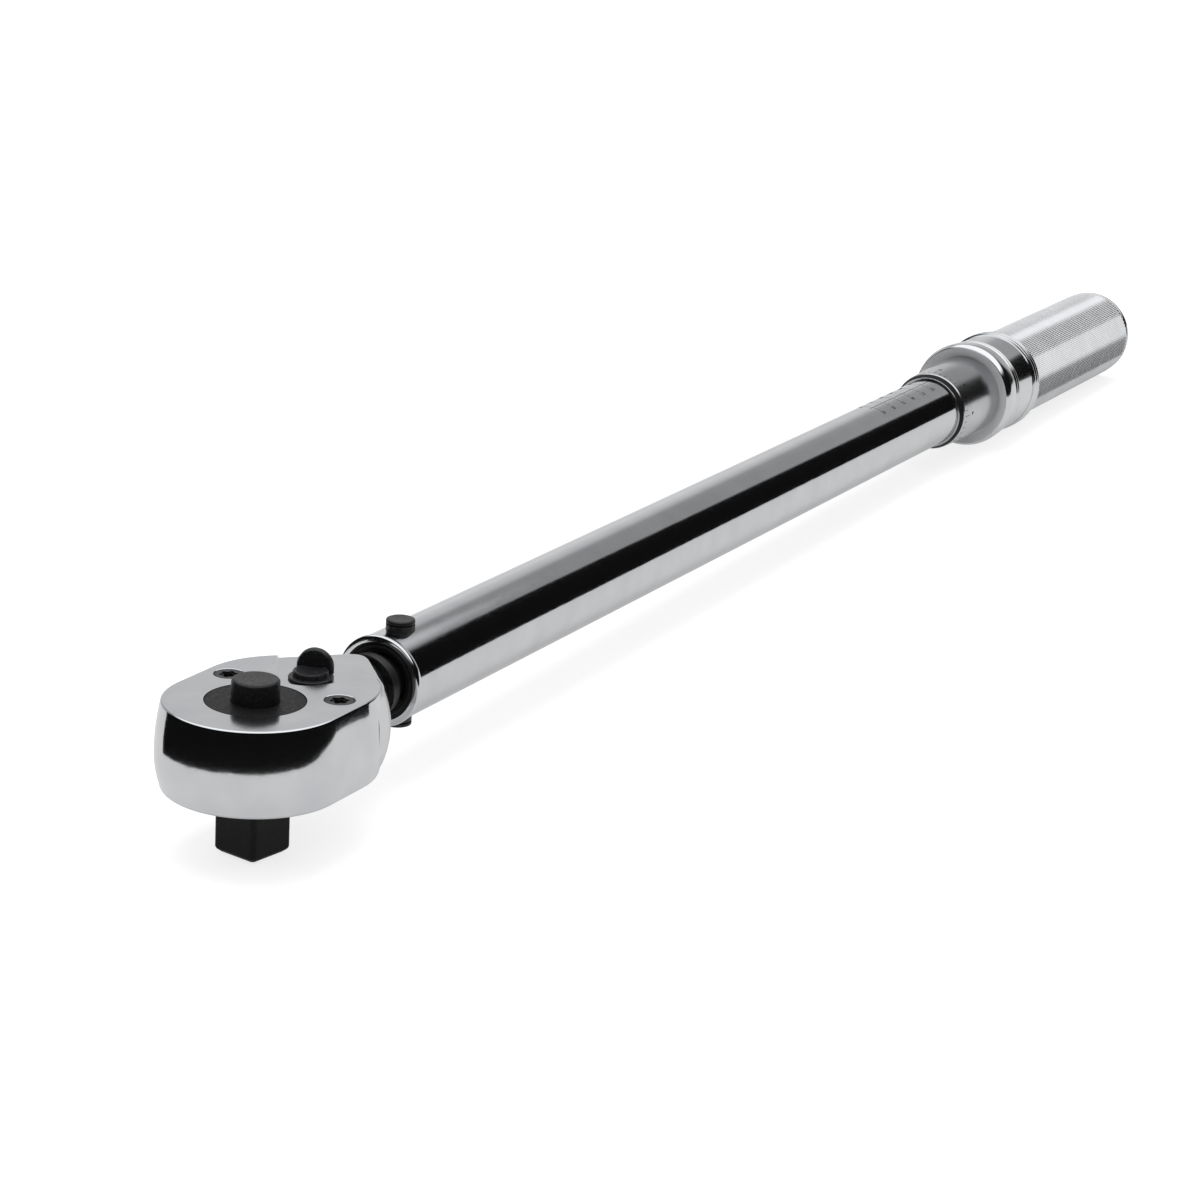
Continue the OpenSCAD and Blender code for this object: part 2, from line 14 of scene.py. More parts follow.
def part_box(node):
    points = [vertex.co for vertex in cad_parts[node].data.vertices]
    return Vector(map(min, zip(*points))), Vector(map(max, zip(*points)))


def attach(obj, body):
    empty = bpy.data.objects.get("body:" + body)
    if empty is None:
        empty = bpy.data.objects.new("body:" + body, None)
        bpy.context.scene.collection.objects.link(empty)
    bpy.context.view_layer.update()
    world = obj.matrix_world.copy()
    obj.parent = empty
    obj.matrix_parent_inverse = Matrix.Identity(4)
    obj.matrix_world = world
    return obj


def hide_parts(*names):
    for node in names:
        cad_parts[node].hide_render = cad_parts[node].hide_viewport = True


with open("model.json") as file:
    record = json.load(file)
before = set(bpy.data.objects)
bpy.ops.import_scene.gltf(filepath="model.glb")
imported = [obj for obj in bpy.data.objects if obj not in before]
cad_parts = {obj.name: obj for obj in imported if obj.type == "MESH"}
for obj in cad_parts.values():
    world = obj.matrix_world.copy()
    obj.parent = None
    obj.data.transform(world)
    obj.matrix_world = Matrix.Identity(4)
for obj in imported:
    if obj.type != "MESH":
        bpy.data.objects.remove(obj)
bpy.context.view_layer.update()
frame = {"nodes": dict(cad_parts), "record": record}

MM = 0.001
nodes = frame["nodes"]

# ---- sizes, as in the CAD source ----
HEAD_H = 21.1
AXIS_Z = 11.0
PLATE_T = 1.1
LEDGE_Z = HEAD_H - PLATE_T
HEAD_LOW_Z = 0.2
HEAD_R = 20.8
HEAD_RUN = 13.5
BEVEL = 0.5
BULGE = 1.4
MID_Z = 8.6
FOOT_R = 1.2
FOOT_TAPER = 2.6         # how much faster the side draws in below its widest height
DISC_R = 11.64
BUTTON_R = 5.56
SQUARE_W = 12.7
SQUARE_LEN = 15.6
SQUARE_TURN = -9.4
GEAR_R, GEAR_ROOT_R, GEAR_Z, GEAR_TEETH = 13.6, 12.5, 5.9, 36
GEAR_BORE, GEAR_BORE_Z = 13.9, 5.2
JOURNAL_R, JOURNAL_BORE = 10.2, 10.25
DISC_LOW_Z = 17
BUTTON_LOW_Z, BUTTON_ROUND = 15, 0.75
BALL_Z, BALL_BORE_R = -8, 2.35
ROD_BORE_R, ROD_BORE_Z = 2.66, -13.7
SCREW_X, SCREW_Y, SCREW_R = 11.5, 15.2, 3.55
SCREW_SHANK_R, SCREW_LOW_Z = 1.9, 8.5
SCREW_SEAT = LEDGE_Z + 0.35
LEVER_X, LEVER_TURN = 22.7, 18.0
SHAFT_R, SHAFT_BORE, SHAFT_LOW_Z = 3.2, 3.25, 4.2
CLIP_Z, CLIP_TOP_Z = 14.6, 15.4
PLUNGER_Z, PLUNGER_BORE = 11.6, 1.14
POCKET_Z, POCKET_TOP_Z = 7.6, 16
TUBE_R, TUBE_BORE = 11.17, 9.4
MOUTH_X, TUBE_END_X = 52.6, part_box("tube")[1].x / MM
PIN_X, PIN_R = 62.2, 3.6
THIMBLE_X, THIMBLE_END_X = 396.4, 428.6
LOCK_R = 17.6
GRIP_X, GRIP_END_X, GRIP_R = 458.0, 556.5, 15.56
BELOW, ABOVE, FAR_ABOVE = -5, 30, 40   # ends of the cutting tools, clear of the head


# ---- mesh helpers ----

ON_TUBE = Matrix(((0, 0, 1, 0), (0, -1, 0, 0), (1, 0, 0, AXIS_Z), (0, 0, 0, 1)))


def at(x, y, z, turn=0.0):
    return Matrix.Translation((x, y, z)) @ Matrix.Rotation(math.radians(turn), 4, "Z")


def shape(verts, faces, place=None):
    """A bmesh in millimetres, with its faces turned outwards."""
    bm = bmesh.new()
    made = [bm.verts.new(v) for v in verts]
    for f in faces:
        bm.faces.new([made[i] for i in f])
    bmesh.ops.recalc_face_normals(bm, faces=bm.faces)
    if place is not None:
        bmesh.ops.transform(bm, matrix=place, verts=bm.verts)
    return bm


def lathe(profile, place=None, segments=128):
    """A turned solid round its own Z. profile is (height, radius) from end to end.

    It closes on itself where it doesn't start and end on the axis.
    """
    verts, rings = [], []
    for h, r in profile:
        if r < 1e-6:
            rings.append([len(verts)])
            verts.append((0, 0, h))
        else:
            rings.append(list(range(len(verts), len(verts) + segments)))
            for i in range(segments):
                a = 2 * math.pi * i / segments
                verts.append((r * math.cos(a), r * math.sin(a), h))
    faces = []
    count = len(rings)
    closed = len(rings[0]) > 1
    for k in range(count if closed else count - 1):
        a, b = rings[k], rings[(k + 1) % count]
        for i in range(segments):
            j = (i + 1) % segments
            if len(a) == 1 and len(b) > 1:
                faces.append((a[0], b[i], b[j]))
            elif len(b) == 1 and len(a) > 1:
                faces.append((a[i], b[0], a[j]))
            elif len(a) > 1 and len(b) > 1:
                faces.append((a[i], b[i], b[j], a[j]))
    return shape(verts, faces, place)


def stack(loops, place=None):
    """A solid from loops of the same number of points, with a flat cap at each end."""
    n = len(loops[0])
    verts = [p for loop in loops for p in loop]
    faces = [tuple(range(n)), tuple(range((len(loops) - 1) * n, len(loops) * n))]
    for k in range(len(loops) - 1):
        for i in range(n):
            j = (i + 1) % n
            faces.append((k * n + i, k * n + j, (k + 1) * n + j, (k + 1) * n + i))
    return shape(verts, faces, place)


def prism(outline, low, high, place=None):
    return stack([[(x, y, z) for x, y in outline] for z in (low, high)], place)


def circle(r, n=64, cx=0.0, cy=0.0):
    return [(cx + r * math.cos(2 * math.pi * i / n), cy + r * math.sin(2 * math.pi * i / n))
            for i in range(n)]


def cylinder(r, low, high, place=None, n=96):
    return prism(circle(r, n), low, high, place)


def rounded(points, r, steps):
    """An outline with each corner rounded to radius r."""
    out = []
    n = len(points)
    for i, p in enumerate(points):
        a, b, p = Vector(points[i - 1]), Vector(points[(i + 1) % n]), Vector(p)
        u, v = (a - p), (b - p)
        half = u.angle(v) / 2
        cut = r / math.tan(half)
        rad = cut * math.tan(half)
        centre = p + (u.normalized() + v.normalized()).normalized() * (rad / math.sin(half))
        s, e = p + u.normalized() * cut - centre, p + v.normalized() * cut - centre
        turn = s.angle_signed(e)
        for k in range(steps + 1):
            t = -turn * k / steps
            out.append((centre.x + s.x * math.cos(t) - s.y * math.sin(t),
                        centre.y + s.x * math.sin(t) + s.y * math.cos(t)))
    return out


def to_object(name, bm):
    """A Blender object from a bmesh in millimetres."""
    bmesh.ops.scale(bm, vec=(MM, MM, MM), verts=bm.verts)
    me = bpy.data.meshes.new(name)
    bm.to_mesh(me)
    bm.free()
    obj = bpy.data.objects.new(name, me)
    bpy.context.scene.collection.objects.link(obj)
    return obj


def apply_modifiers(obj):
    dg = bpy.context.evaluated_depsgraph_get()
    me = bpy.data.meshes.new_from_object(obj.evaluated_get(dg))
    old = obj.data
    obj.modifiers.clear()
    obj.data = me
    bpy.data.meshes.remove(old)


def combine(name, base, joined=(), cut=()):
    """base with the joined solids added and the cut solids taken away."""
    obj = to_object(name, base)
    tools = []
    for kind, solids in (("UNION", joined), ("DIFFERENCE", cut)):
        for i, bm in enumerate(solids):
            tool = to_object(f"tool_{kind}_{i}", bm)
            mod = obj.modifiers.new(f"{kind}_{i}", "BOOLEAN")
            mod.operation, mod.object, mod.solver = kind, tool, "EXACT"
            tools.append(tool)
    apply_modifiers(obj)
    for tool in tools:
        bpy.data.objects.remove(tool)
    return obj


def soften(obj, width, segments=2, angle=40):
    """Rounds the sharp edges of a finished solid."""
    mod = obj.modifiers.new("edges", "BEVEL")
    mod.width, mod.segments = width * MM, segments
    mod.limit_method, mod.angle_limit = "ANGLE", math.radians(angle)
    mod.use_clamp_overlap = True
    apply_modifiers(obj)


def finish_piece(obj, material, body, replaced=(), sharp=28):
    """Shades, paints and places a piece, and makes it ride on its body."""
    me = obj.data
    me.materials.clear()
    me.materials.append(material)
    me.shade_smooth()
    me.set_sharp_from_angle(angle=math.radians(sharp))
    mod = obj.modifiers.new("normals", "WEIGHTED_NORMAL")
    mod.keep_sharp, mod.weight = True, 80
    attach(obj, body)
    if replaced:
        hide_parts(*replaced)
    return obj


# ---- materials ----

class Nodes:
    """A small builder for a material's node tree."""

    def __init__(self, name):
        self.mat = bpy.data.materials.new(name)
        self.mat.use_nodes = True
        self.tree = self.mat.node_tree
        self.shader = self.tree.nodes["Principled BSDF"]
        self.coord = self.tree.nodes.new("ShaderNodeTexCoord").outputs["Object"]

    def new(self, kind, **values):
        node = self.tree.nodes.new(kind)
        for key, value in values.items():
            setattr(node, key, value)
        return node

    def link(self, a, b):
        self.tree.links.new(a, b)

    def stretched(self, scale):
        """The object's own coordinates, in millimetres, stretched by scale along each axis."""
        node = self.new("ShaderNodeMapping")
        self.link(self.coord, node.inputs["Vector"])
        node.inputs["Scale"].default_value = [s / MM for s in scale]
        return node.outputs["Vector"]

    def noise(self, scale, detail=3.0, stretch=(1, 1, 1)):
        node = self.new("ShaderNodeTexNoise")
        self.link(self.stretched([s * scale for s in stretch]), node.inputs["Vector"])
        node.inputs["Scale"].default_value = 1.0
        node.inputs["Detail"].default_value = detail
        return node.outputs["Fac"]

    def ramp(self, value, low, high, start=0.3, end=0.7):
        node = self.new("ShaderNodeMapRange")
        self.link(value, node.inputs["Value"])
        for key, v in (("From Min", start), ("From Max", end), ("To Min", low), ("To Max", high)):
            node.inputs[key].default_value = v
        return node.outputs["Result"]

    def mix(self, value, a, b):
        node = self.new("ShaderNodeMix", data_type="RGBA")
        self.link(value, node.inputs["Factor"])
        node.inputs["A"].default_value = (*a, 1)
        node.inputs["B"].default_value = (*b, 1)
        return node.outputs["Result"]

    def bump(self, height, strength, distance, onto=None):
        node = self.new("ShaderNodeBump")
        self.link(height, node.inputs["Height"])
        node.inputs["Strength"].default_value = strength
        node.inputs["Distance"].default_value = distance * MM
        if onto is not None:
            self.link(onto, node.inputs["Normal"])
        return node.outputs["Normal"]

    def axis(self, name):
        """One of the object's own coordinates, in metres."""
        node = self.new("ShaderNodeSeparateXYZ")
        self.link(self.coord, node.inputs[0])
        return node.outputs[name]

    def math(self, operation, a, b=None):
        node = self.new("ShaderNodeMath", operation=operation)
        for i, v in enumerate((a, b)):
            if isinstance(v, float):
                node.inputs[i].default_value = v
            elif v is not None:
                self.link(v, node.inputs[i])
        return node.outputs[0]

    def override(self, name, mask, value):
        """Mixes a shader input towards a fixed value where the mask is 1."""
        socket = self.shader.inputs[name]
        node = self.new("ShaderNodeMix", data_type="FLOAT")
        self.link(mask, node.inputs["Factor"])
        if socket.links:
            self.link(socket.links[0].from_socket, node.inputs["A"])
        else:
            node.inputs["A"].default_value = socket.default_value
        node.inputs["B"].default_value = value
        self.link(node.outputs["Result"], socket)

    def blacken(self, mask):
        """Turns the metal black where the mask is 1: painted shade."""
        socket = self.shader.inputs["Base Color"]
        node = self.new("ShaderNodeMix", data_type="RGBA")
        self.link(mask, node.inputs["Factor"])
        self.link(socket.links[0].from_socket, node.inputs["A"])
        node.inputs["B"].default_value = (0.008, 0.008, 0.008, 1)
        self.link(node.outputs["Result"], socket)
        self.override("Metallic", mask, 0.0)
        self.override("Roughness", mask, 0.4)

    def set(self, name, value):
        self.shader.inputs[name].default_value = value

    def into(self, output, name):
        self.link(output, self.shader.inputs[name])


def metal(name, light, dark, rough, grain, grain_scale, stretch=(1, 1, 1), bump=0.0, wave=0.0,
          wave_scale=0.05, adjust=None):
    """Bare or plated metal. Fine grain moves its roughness and colour, and a slow wave its surface."""
    n = Nodes(name)
    n.set("Metallic", 1.0)
    fine = n.noise(grain_scale, 4.0, stretch)
    slow = n.noise(0.09, 2.0)
    n.into(n.mix(n.ramp(slow, 0, 1), dark, light), "Base Color")
    n.into(n.ramp(fine, max(rough - grain, 0.01), rough + grain), "Roughness")
    normal = None
    if wave:
        normal = n.bump(n.noise(wave_scale, 1.0), wave, 0.4)
    if bump:
        normal = n.bump(fine, bump, 0.05, normal)
    if normal is not None:
        n.into(normal, "Normal")
    if adjust is not None:
        adjust(n)
    return n.mat


def satin_top(n):
    """Flat upward faces are satin, the rest stays polished."""
    facing = n.new("ShaderNodeSeparateXYZ")
    n.link(n.tree.nodes["Texture Coordinate"].outputs["Normal"], facing.inputs[0])
    n.override("Roughness", n.ramp(facing.outputs["Z"], 0, 1, 0.90, 0.97), 0.15)


# where the forging's neck starts to be painted black as shade
NECK_SHADE_FROM, NECK_SHADE_TO = 0.0467, 0.0468   # metres from the drive axis
DISH_R, DISH_END_X = 16.55, 428.7


def blacked_neck(n):
    """The neck and the boss inside the tube are turned black: painted shade for the shadow and dark
    reflection in and round the tube mouth.
    """
    n.blacken(n.ramp(n.axis("X"), 0, 1, NECK_SHADE_FROM, NECK_SHADE_TO))


def satin_dish(n):
    """The hollow front face of the lock ring is satin."""
    radius = n.math("SQRT", n.math("ADD", n.math("POWER", n.axis("Y"), 2.0),
                                   n.math("POWER", n.math("SUBTRACT", n.axis("Z"), AXIS_Z * MM), 2.0)))
    inner = n.math("MULTIPLY", n.math("LESS_THAN", radius, DISH_R * MM),
                   n.math("LESS_THAN", n.axis("X"), DISH_END_X * MM))
    n.override("Roughness", inner, 0.5)
    n.override("Metallic", inner, 0.35)


def blacked(name, dark, light, rough, grain_scale, bump, metallic=0.0, painted_glints=0.0, shine=0.3):
    """Black phosphated or moulded surface with a fine grain, which is its own, and small pale flecks, which
    are painted glints.
    """
    n = Nodes(name)
    n.set("Metallic", metallic)
    grain = n.noise(grain_scale, 5.0)
    # pale flecks in the base colour: painted glints standing in for glossy sparkle, over the surface's own
    # grain
    n.into(n.mix(n.ramp(grain, 0, 1, 0.62 - painted_glints, 0.8 - painted_glints), dark, light), "Base Color")
    n.into(n.ramp(n.noise(grain_scale * 0.4, 2.0), rough - 0.08, rough + 0.1), "Roughness")
    n.into(n.bump(grain, bump, 0.06), "Normal")
    n.set("Specular IOR Level", shine)
    return n.mat


# the forging's neck end carries painted shade: it is turned black
chrome_forging = metal("chrome_forging", (0.70, 0.71, 0.72), (0.64, 0.65, 0.67), 0.08, 0.03, 2.2,
                       bump=0.04, wave=0.08, wave_scale=0.16,
                       adjust=lambda n: (satin_top(n), blacked_neck(n)))
chrome_plate = metal("chrome_plate", (0.70, 0.71, 0.72), (0.64, 0.65, 0.67), 0.08, 0.03, 2.6,
                     bump=0.04, wave=0.08, wave_scale=0.16, adjust=satin_top)
chrome_tube = metal("chrome_tube", (0.68, 0.69, 0.70), (0.62, 0.63, 0.65), 0.08, 0.03, 2.5,
                    stretch=(0.15, 1, 1), bump=0.03)
chrome_ring = metal("chrome_ring", (0.74, 0.75, 0.76), (0.68, 0.69, 0.70), 0.12, 0.04, 4.0,
                    stretch=(3, 0.3, 0.3), bump=0.04, adjust=satin_dish)
thimble_steel = metal("thimble_steel", (0.60, 0.61, 0.62), (0.52, 0.53, 0.54), 0.20, 0.05, 4.0,
                      stretch=(3, 0.3, 0.3), bump=0.08)
knurled_steel = metal("knurled_steel", (0.66, 0.67, 0.68), (0.60, 0.61, 0.62), 0.16, 0.04, 2.0,
                      bump=0.03)
plain_steel = metal("plain_steel", (0.46, 0.46, 0.47), (0.36, 0.36, 0.37), 0.32, 0.08, 1.5, bump=0.08)
spring_steel = metal("spring_steel", (0.38, 0.38, 0.40), (0.26, 0.26, 0.28), 0.34, 0.08, 2.0, bump=0.08)
ball_steel = metal("ball_steel", (0.70, 0.71, 0.72), (0.64, 0.65, 0.66), 0.08, 0.03, 1.0)
bronze = metal("bronze", (0.62, 0.44, 0.22), (0.48, 0.33, 0.16), 0.36, 0.08, 2.0, bump=0.08)
black_steel = blacked("black_steel", (0.007, 0.007, 0.008), (0.050, 0.050, 0.052),
                      0.36, 3.2, 0.35, painted_glints=0.05, shine=0.35)
black_drive = blacked("black_drive", (0.006, 0.006, 0.006), (0.022, 0.022, 0.022),
                      0.42, 2.6, 0.20, painted_glints=0.04, shine=0.12)
black_rubber = blacked("black_rubber", (0.005, 0.005, 0.005), (0.015, 0.015, 0.015),
                       0.42, 1.2, 0.10, shine=0.3)
black_plastic = blacked("black_plastic", (0.008, 0.008, 0.008), (0.022, 0.022, 0.022), 0.44, 1.6, 0.12)
etched_black = blacked("etched_black", (0.004, 0.004, 0.004), (0.010, 0.010, 0.010),
                       0.60, 4.0, 0.05, shine=0.1)

FINISHES = {
    "chrome_forging": chrome_forging, "chrome_plate": chrome_plate, "chrome_tube": chrome_tube,
    "chrome_ring": chrome_ring, "thimble_steel": thimble_steel, "knurled_steel": knurled_steel,
    "plain_steel": plain_steel, "spring_steel": spring_steel, "ball_steel": ball_steel,
    "bronze": bronze, "black_steel": black_steel, "black_rubber": black_rubber,
    "black_plastic": black_plastic,
}

# every CAD node carries its slot's finish, and the pieces below stand for those that show
for part in frame["record"]["subparts"]:
    node = nodes[part["node"]]
    node.data.materials.clear()
    node.data.materials.append(FINISHES[part["material_slot"]])
    node.data.shade_smooth()
    node.data.set_sharp_from_angle(angle=math.radians(30))


# ---- ratchet head ----

def side_r(z):
    """Radius of the head's barrel-shaped side at height z."""
    k = 1.0 if z > MID_Z else FOOT_TAPER
    return HEAD_R + BEVEL + BULGE - k * BULGE * ((z - MID_Z) / (HEAD_H - MID_Z)) ** 2


def long_outline(r, z, n=64):
    """The head's outline at a height: a half circle at each end."""
    out = []
    for i in range(n + 1):
        a = math.radians(90 + 180 * i / n)
        out.append((r * math.cos(a), r * math.sin(a), z))
    for k in range(1, 5):
        out.append((HEAD_RUN * k / 5, -r, z))
    for i in range(n + 1):
        a = math.radians(-90 + 180 * i / n)
        out.append((HEAD_RUN + r * math.cos(a), r * math.sin(a), z))
    for k in range(4, 0, -1):
        out.append((HEAD_RUN * k / 5, r, z))
    return out


def barrel():
    loops = []
    foot_z = HEAD_LOW_Z + FOOT_R
    foot_x = side_r(foot_z) - FOOT_R
    foot_steps, side_steps = 8, 12
    for i in range(foot_steps + 1):
        a = math.radians(-90 + 84 * i / foot_steps)
        loops.append(long_outline(foot_x + FOOT_R * math.cos(a), foot_z + FOOT_R * math.sin(a)))
    for i in range(side_steps + 1):
        z = foot_z + (LEDGE_Z - foot_z) * i / side_steps
        loops.append(long_outline(side_r(z), z))
    return stack(loops)


TAIL = [(18, 22.3), (20, 22.0), (24, 21.1), (26.6, 19.9), (29, 18.4), (31, 16.8), (33, 15.2),
        (35.6, 13.4), (38, 11.8), (40.9, 10.25), (44.2, 9.0), (46.6, 8.4)]
TAIL_X, TAIL_LEN = 18.0, 28.6
TAIL_DROP = 8.6          # from the tube's axis down to the tail's flat underside


def smooth_radius(points, x):
    """A smooth curve through points of (x, radius)."""
    k = max(1, min(len(points) - 2, sum(1 for px, _ in points if px <= x) - 1))
    (xa, ra), (xb, rb), (xc, rc) = points[k - 1], points[k], points[k + 1]
    return (ra * (x - xb) * (x - xc) / ((xa - xb) * (xa - xc))
            + rb * (x - xa) * (x - xc) / ((xb - xa) * (xb - xc))
            + rc * (x - xa) * (x - xb) / ((xc - xa) * (xc - xb)))


def tail():
    """The forging behind the barrel: turned round the tube's axis, flat on top and below."""
    loops = []
    steps, around = 72, 288
    for i in range(steps + 1):
        x = TAIL_X + TAIL_LEN * i / steps
        r = smooth_radius(TAIL, x)
        loop = []
        for k in range(around):
            a = 2 * math.pi * (k + 0.5) / around
            z = min(max(r * math.sin(a), -TAIL_DROP), LEDGE_Z - AXIS_Z)
            loop.append((x, r * math.cos(a), AXIS_Z + z))
        loops.append(loop)
    return stack(loops)


neck_profile = [(27, 0), (27, 8.0), (49.8, 8.0), (50.2, 7.9), (53.0, 6.3), (56.9, 6.3), (56.9, 8.7),
                (57.1, 8.9), (70.8, 8.9), (71, 8.7), (71, 6.6), (121.3, 6.6), (121.5, 6.4), (121.5, 0)]

pawl_pocket = [(8, -11.4), (20.4, -11.4), (20.4, -5.6), (22.7, -5.6), (28.3, 0),
               (22.7, 5.6), (20.4, 5.6), (20.4, 11.4), (8, 11.4)]
head = combine(
    "head_forging", barrel(), [tail(), lathe(neck_profile, ON_TUBE, 96)],
    [cylinder(GEAR_BORE, GEAR_BORE_Z, FAR_ABOVE), cylinder(JOURNAL_BORE, BELOW, 10),
     prism(pawl_pocket, POCKET_Z, POCKET_TOP_Z), cylinder(SHAFT_BORE, 4, ABOVE, at(LEVER_X, 0, 0)),
     cylinder(PIN_R + 0.05, BELOW, ABOVE, at(PIN_X, 0, 0)),
     *[cylinder(SCREW_SHANK_R, 8, ABOVE, at(SCREW_X, s * SCREW_Y, 0), 32) for s in (-1, 1)],
     prism([(120, -4.6), (123, -4.6), (123, 4.6), (120, 4.6)], AXIS_Z - 4.2, AXIS_Z + 4.2)])
finish_piece(head, chrome_forging, "head", ["ratchet_head"], 32)


def plate():
    loops = [long_outline(side_r(LEDGE_Z), LEDGE_Z)]
    for i in range(5):
        a = math.radians(10 + 70 * i / 4)
        r0, z0 = side_r(HEAD_H - BEVEL) - BEVEL, HEAD_H - BEVEL
        loops.append(long_outline(r0 + BEVEL * math.cos(a), z0 + BEVEL * math.sin(a)))
    loops.append(long_outline(loops[-1][0][1] - 0.05, HEAD_H))
    return stack(loops)


def notch_outline():
    """The V notch round the lever: two straight walls that run out from a round end."""
    wall_x, wall_y, reach = 16.0, 4.9, 29.0
    arc_x, arc_r = 5, 7
    out_y = wall_y + reach * math.tan(math.radians(33))
    arc = []
    for i in range(25):
        a = math.radians(135.6 + 88.8 * i / 24)
        arc.append((wall_x + arc_x + arc_r * math.cos(a), arc_r * math.sin(a)))
    return [(wall_x + reach, out_y)] + arc + [(wall_x + reach, -out_y)]


cover = combine(
    "cover_plate_top", plate(), [],
    [prism(notch_outline(), LEDGE_Z - 1, HEAD_H + 1), cylinder(DISC_R + 0.1, LEDGE_Z - 1, HEAD_H + 1),
     *[cylinder(2.0, LEDGE_Z - 1, HEAD_H + 1, at(SCREW_X, s * SCREW_Y, 0), 32) for s in (-1, 1)],
     *[lathe([(SCREW_SEAT, 0), (SCREW_SEAT, SCREW_R + 0.06), (HEAD_H - 0.1, SCREW_R + 0.06),
              (HEAD_H + 0.1, SCREW_R + 0.3), (HEAD_H + 0.1, 0)],
             at(SCREW_X, s * SCREW_Y, 0), 48) for s in (-1, 1)]])
soften(cover, 0.16, 2, 50)
finish_piece(cover, chrome_plate, "head", ["cover_plate"], 32)


def six_lobe(r_out, r_in, n=72):
    out = []
    for i in range(n):
        a = 2 * math.pi * i / n
        r = (r_out + r_in) / 2 + (r_out - r_in) / 2 * math.cos(6 * a)
        out.append((r * math.cos(a), r * math.sin(a)))
    return out


for side in (-1, 1):
    top = HEAD_H - 0.12
    screw = combine(
        f"cover_screw_{'near' if side < 0 else 'far'}",
        lathe([(SCREW_LOW_Z, 0), (SCREW_LOW_Z, SCREW_SHANK_R), (SCREW_SEAT, SCREW_SHANK_R),
               (SCREW_SEAT, SCREW_R), (top - 0.2, SCREW_R), (top, SCREW_R - 0.2), (top, 0)],
              at(SCREW_X, side * SCREW_Y, 0), 64),
        [], [prism(six_lobe(1.85, 1.35), LEDGE_Z - 0.9, HEAD_H + 1, at(SCREW_X, side * SCREW_Y, 0, 12)),
             prism(six_lobe(2.3, 1.75), top - 0.4, HEAD_H + 1, at(SCREW_X, side * SCREW_Y, 0, 12))])
    finish_piece(screw, black_steel, "head", ["cover_screws"], 30)


# ---- drive ----

def square_bar():
    """The square drive, with rounded edges and a bevelled end."""
    loops = []
    for inset, z in ((1.1, -SQUARE_LEN), (0.25, -SQUARE_LEN + 0.7), (0, -SQUARE_LEN + 1.2), (0, 1.0)):
        h = SQUARE_W / 2 - inset
        corners = rounded([(h, h), (-h, h), (-h, -h), (h, -h)], 1.25 - inset * 0.4, 6)
        loops.append([(x, y, z) for x, y in corners])
    return stack(loops, at(0, 0, 0, SQUARE_TURN))


def gear():
    out = []
    for i in range(GEAR_TEETH):
        for k, r in ((-0.36, GEAR_ROOT_R), (-0.14, GEAR_R), (0.14, GEAR_R), (0.36, GEAR_ROOT_R)):
            a = 2 * math.pi * (i + k) / GEAR_TEETH
            out.append((r * math.cos(a), r * math.sin(a)))
    return prism(out, GEAR_Z, LEDGE_Z - 0.1)


ON_SQUARE = at(0, 0, BALL_Z, SQUARE_TURN) @ Matrix.Rotation(math.radians(90), 4, "Y")
spindle = combine(
    "drive_spindle_black",
    lathe([(0, 0), (0, 10.0), (0.2, JOURNAL_R), (DISC_LOW_Z, JOURNAL_R), (DISC_LOW_Z, DISC_R),
           (HEAD_H - 0.25, DISC_R), (HEAD_H - 0.05, DISC_R - 0.2), (HEAD_H - 0.05, 0)]),
    [gear(), square_bar()],
    [cylinder(BUTTON_R + 0.12, 8, FAR_ABOVE), cylinder(ROD_BORE_R, ROD_BORE_Z, FAR_ABOVE, None, 48),
     cylinder(BALL_BORE_R, 2, 10, ON_SQUARE, 48)])
finish_piece(spindle, black_drive, "drive", ["drive_spindle"], 30)

button_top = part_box("release_button")[1].z / MM
button = to_object("release_button_black", lathe(
    [(BUTTON_LOW_Z, 0), (BUTTON_LOW_Z, BUTTON_R - 0.1), (15.1, BUTTON_R),
     (button_top - BUTTON_ROUND, BUTTON_R)]
    + [(button_top - BUTTON_ROUND + BUTTON_ROUND * math.sin(math.radians(a)),
        BUTTON_R - BUTTON_ROUND + BUTTON_ROUND * math.cos(math.radians(a))) for a in (22, 45, 68, 90)]
    + [(button_top - 0.06, 3.0), (button_top - 0.1, 0)], None, 96))
finish_piece(button, black_steel, "button", ["release_button"], 40)


# ---- reversing lever ----

FIN_X, FIN_R, FIN_T = 4.1, 4.4, 2.6
lever_at = at(LEVER_X, 0, 0, LEVER_TURN)


def fin():
    """The lever's upright thumb fin: a half disc with soft edges."""
    centre_z = HEAD_H + 0.7
    loops = []
    half = FIN_T / 2
    for inset, x in ((0.9, -half), (0.3, -half + 0.25), (0, -half + 0.8),
                     (0, half - 0.8), (0.3, half - 0.25), (0.9, half)):
        r = FIN_R - inset
        loop = [(FIN_X + x, r * math.cos(math.radians(a)), centre_z + r * math.sin(math.radians(a)))
                for a in range(0, 181, 9)]
        loop += [(FIN_X + x, -r, LEDGE_Z + 0.3), (FIN_X + x, r, LEDGE_Z + 0.3)]
        loops.append(loop)
    return stack(loops, lever_at)


